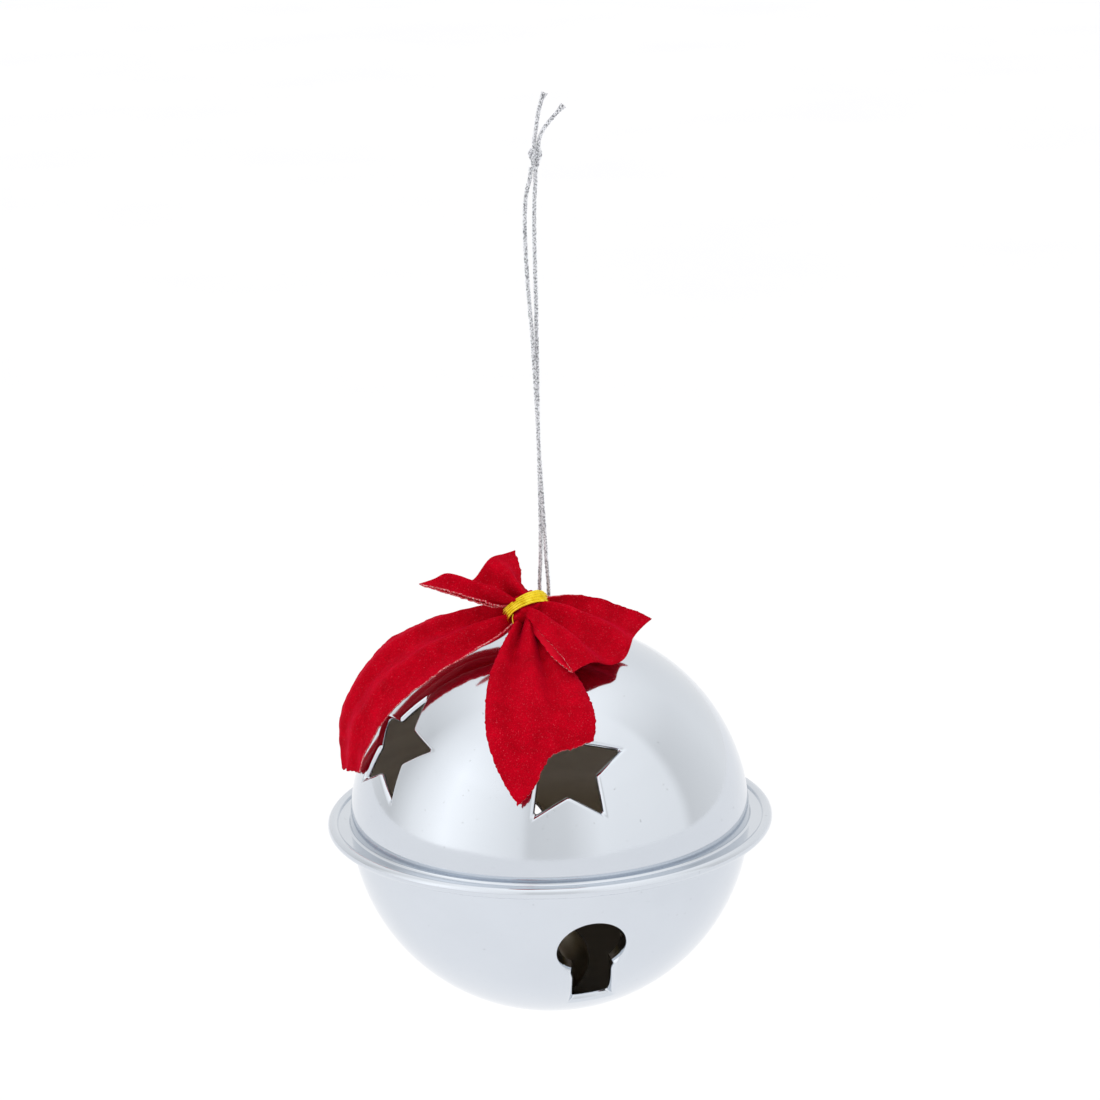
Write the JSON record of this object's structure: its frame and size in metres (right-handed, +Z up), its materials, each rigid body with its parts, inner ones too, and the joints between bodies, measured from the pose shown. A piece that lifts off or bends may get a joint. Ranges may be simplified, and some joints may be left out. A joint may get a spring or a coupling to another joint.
{
  "type": "christmas bell ornament",
  "caption": "Hanging jingle bell with star and keyhole cut-outs, a loose ball inside, a velvet bow and a braided cord loop.",
  "frame": {"origin": "inside the top of the cord loop, just under its knot, where a hook holds the ornament", "axes": "+Z up along the bell's axis and the cord; -Y is the front, where the bow's tail hangs; +X to the right seen from the front"},
  "size_m": [0.1, 0.1, 0.2064],
  "materials": {
    "chrome_shell": "polished",
    "steel_ball": "satin",
    "steel_wire": "polished",
    "red_velvet": "velvet",
    "gold_foil": "polished",
    "silver_cord": "metallic"
  },
  "bodies": {
    "cord": {"cord_strand_left": "silver_cord", "cord_strand_right": "silver_cord", "cord_tail_left": "silver_cord", "cord_tail_right": "silver_cord", "cord_knot": "silver_cord"},
    "hanger": {"hanger_eye": "steel_wire", "bow_gather": "red_velvet", "bow_tie_band": "gold_foil", "bow_tie_wire": "gold_foil", "bow_loop_left": "red_velvet", "bow_loop_right": "red_velvet", "bow_tail_left": "red_velvet", "bow_tail_front": "red_velvet"},
    "bell": {"upper_shell": "chrome_shell", "lower_shell": "chrome_shell"},
    "ball": {"clapper_ball": "steel_ball"}
  },
  "joints": [
    {"name": "bell_swing", "type": "hinge", "parent": "cord", "child": "hanger", "pos_m": [0, 0, -0.0979], "axis": [1, 0, 0], "range_deg": [-20, 20]},
    {"name": "bell_swivel", "type": "hinge", "parent": "hanger", "child": "bell", "pos_m": [0, 0, -0.1028], "axis": [0, 0, 1], "continuous": true},
    {"name": "ball_roll", "type": "hinge", "parent": "bell", "child": "ball", "pos_m": [0, 0, -0.1451], "axis": [0.2079, -0.9781, 0], "range_deg": [-50, 50]}
  ]
}
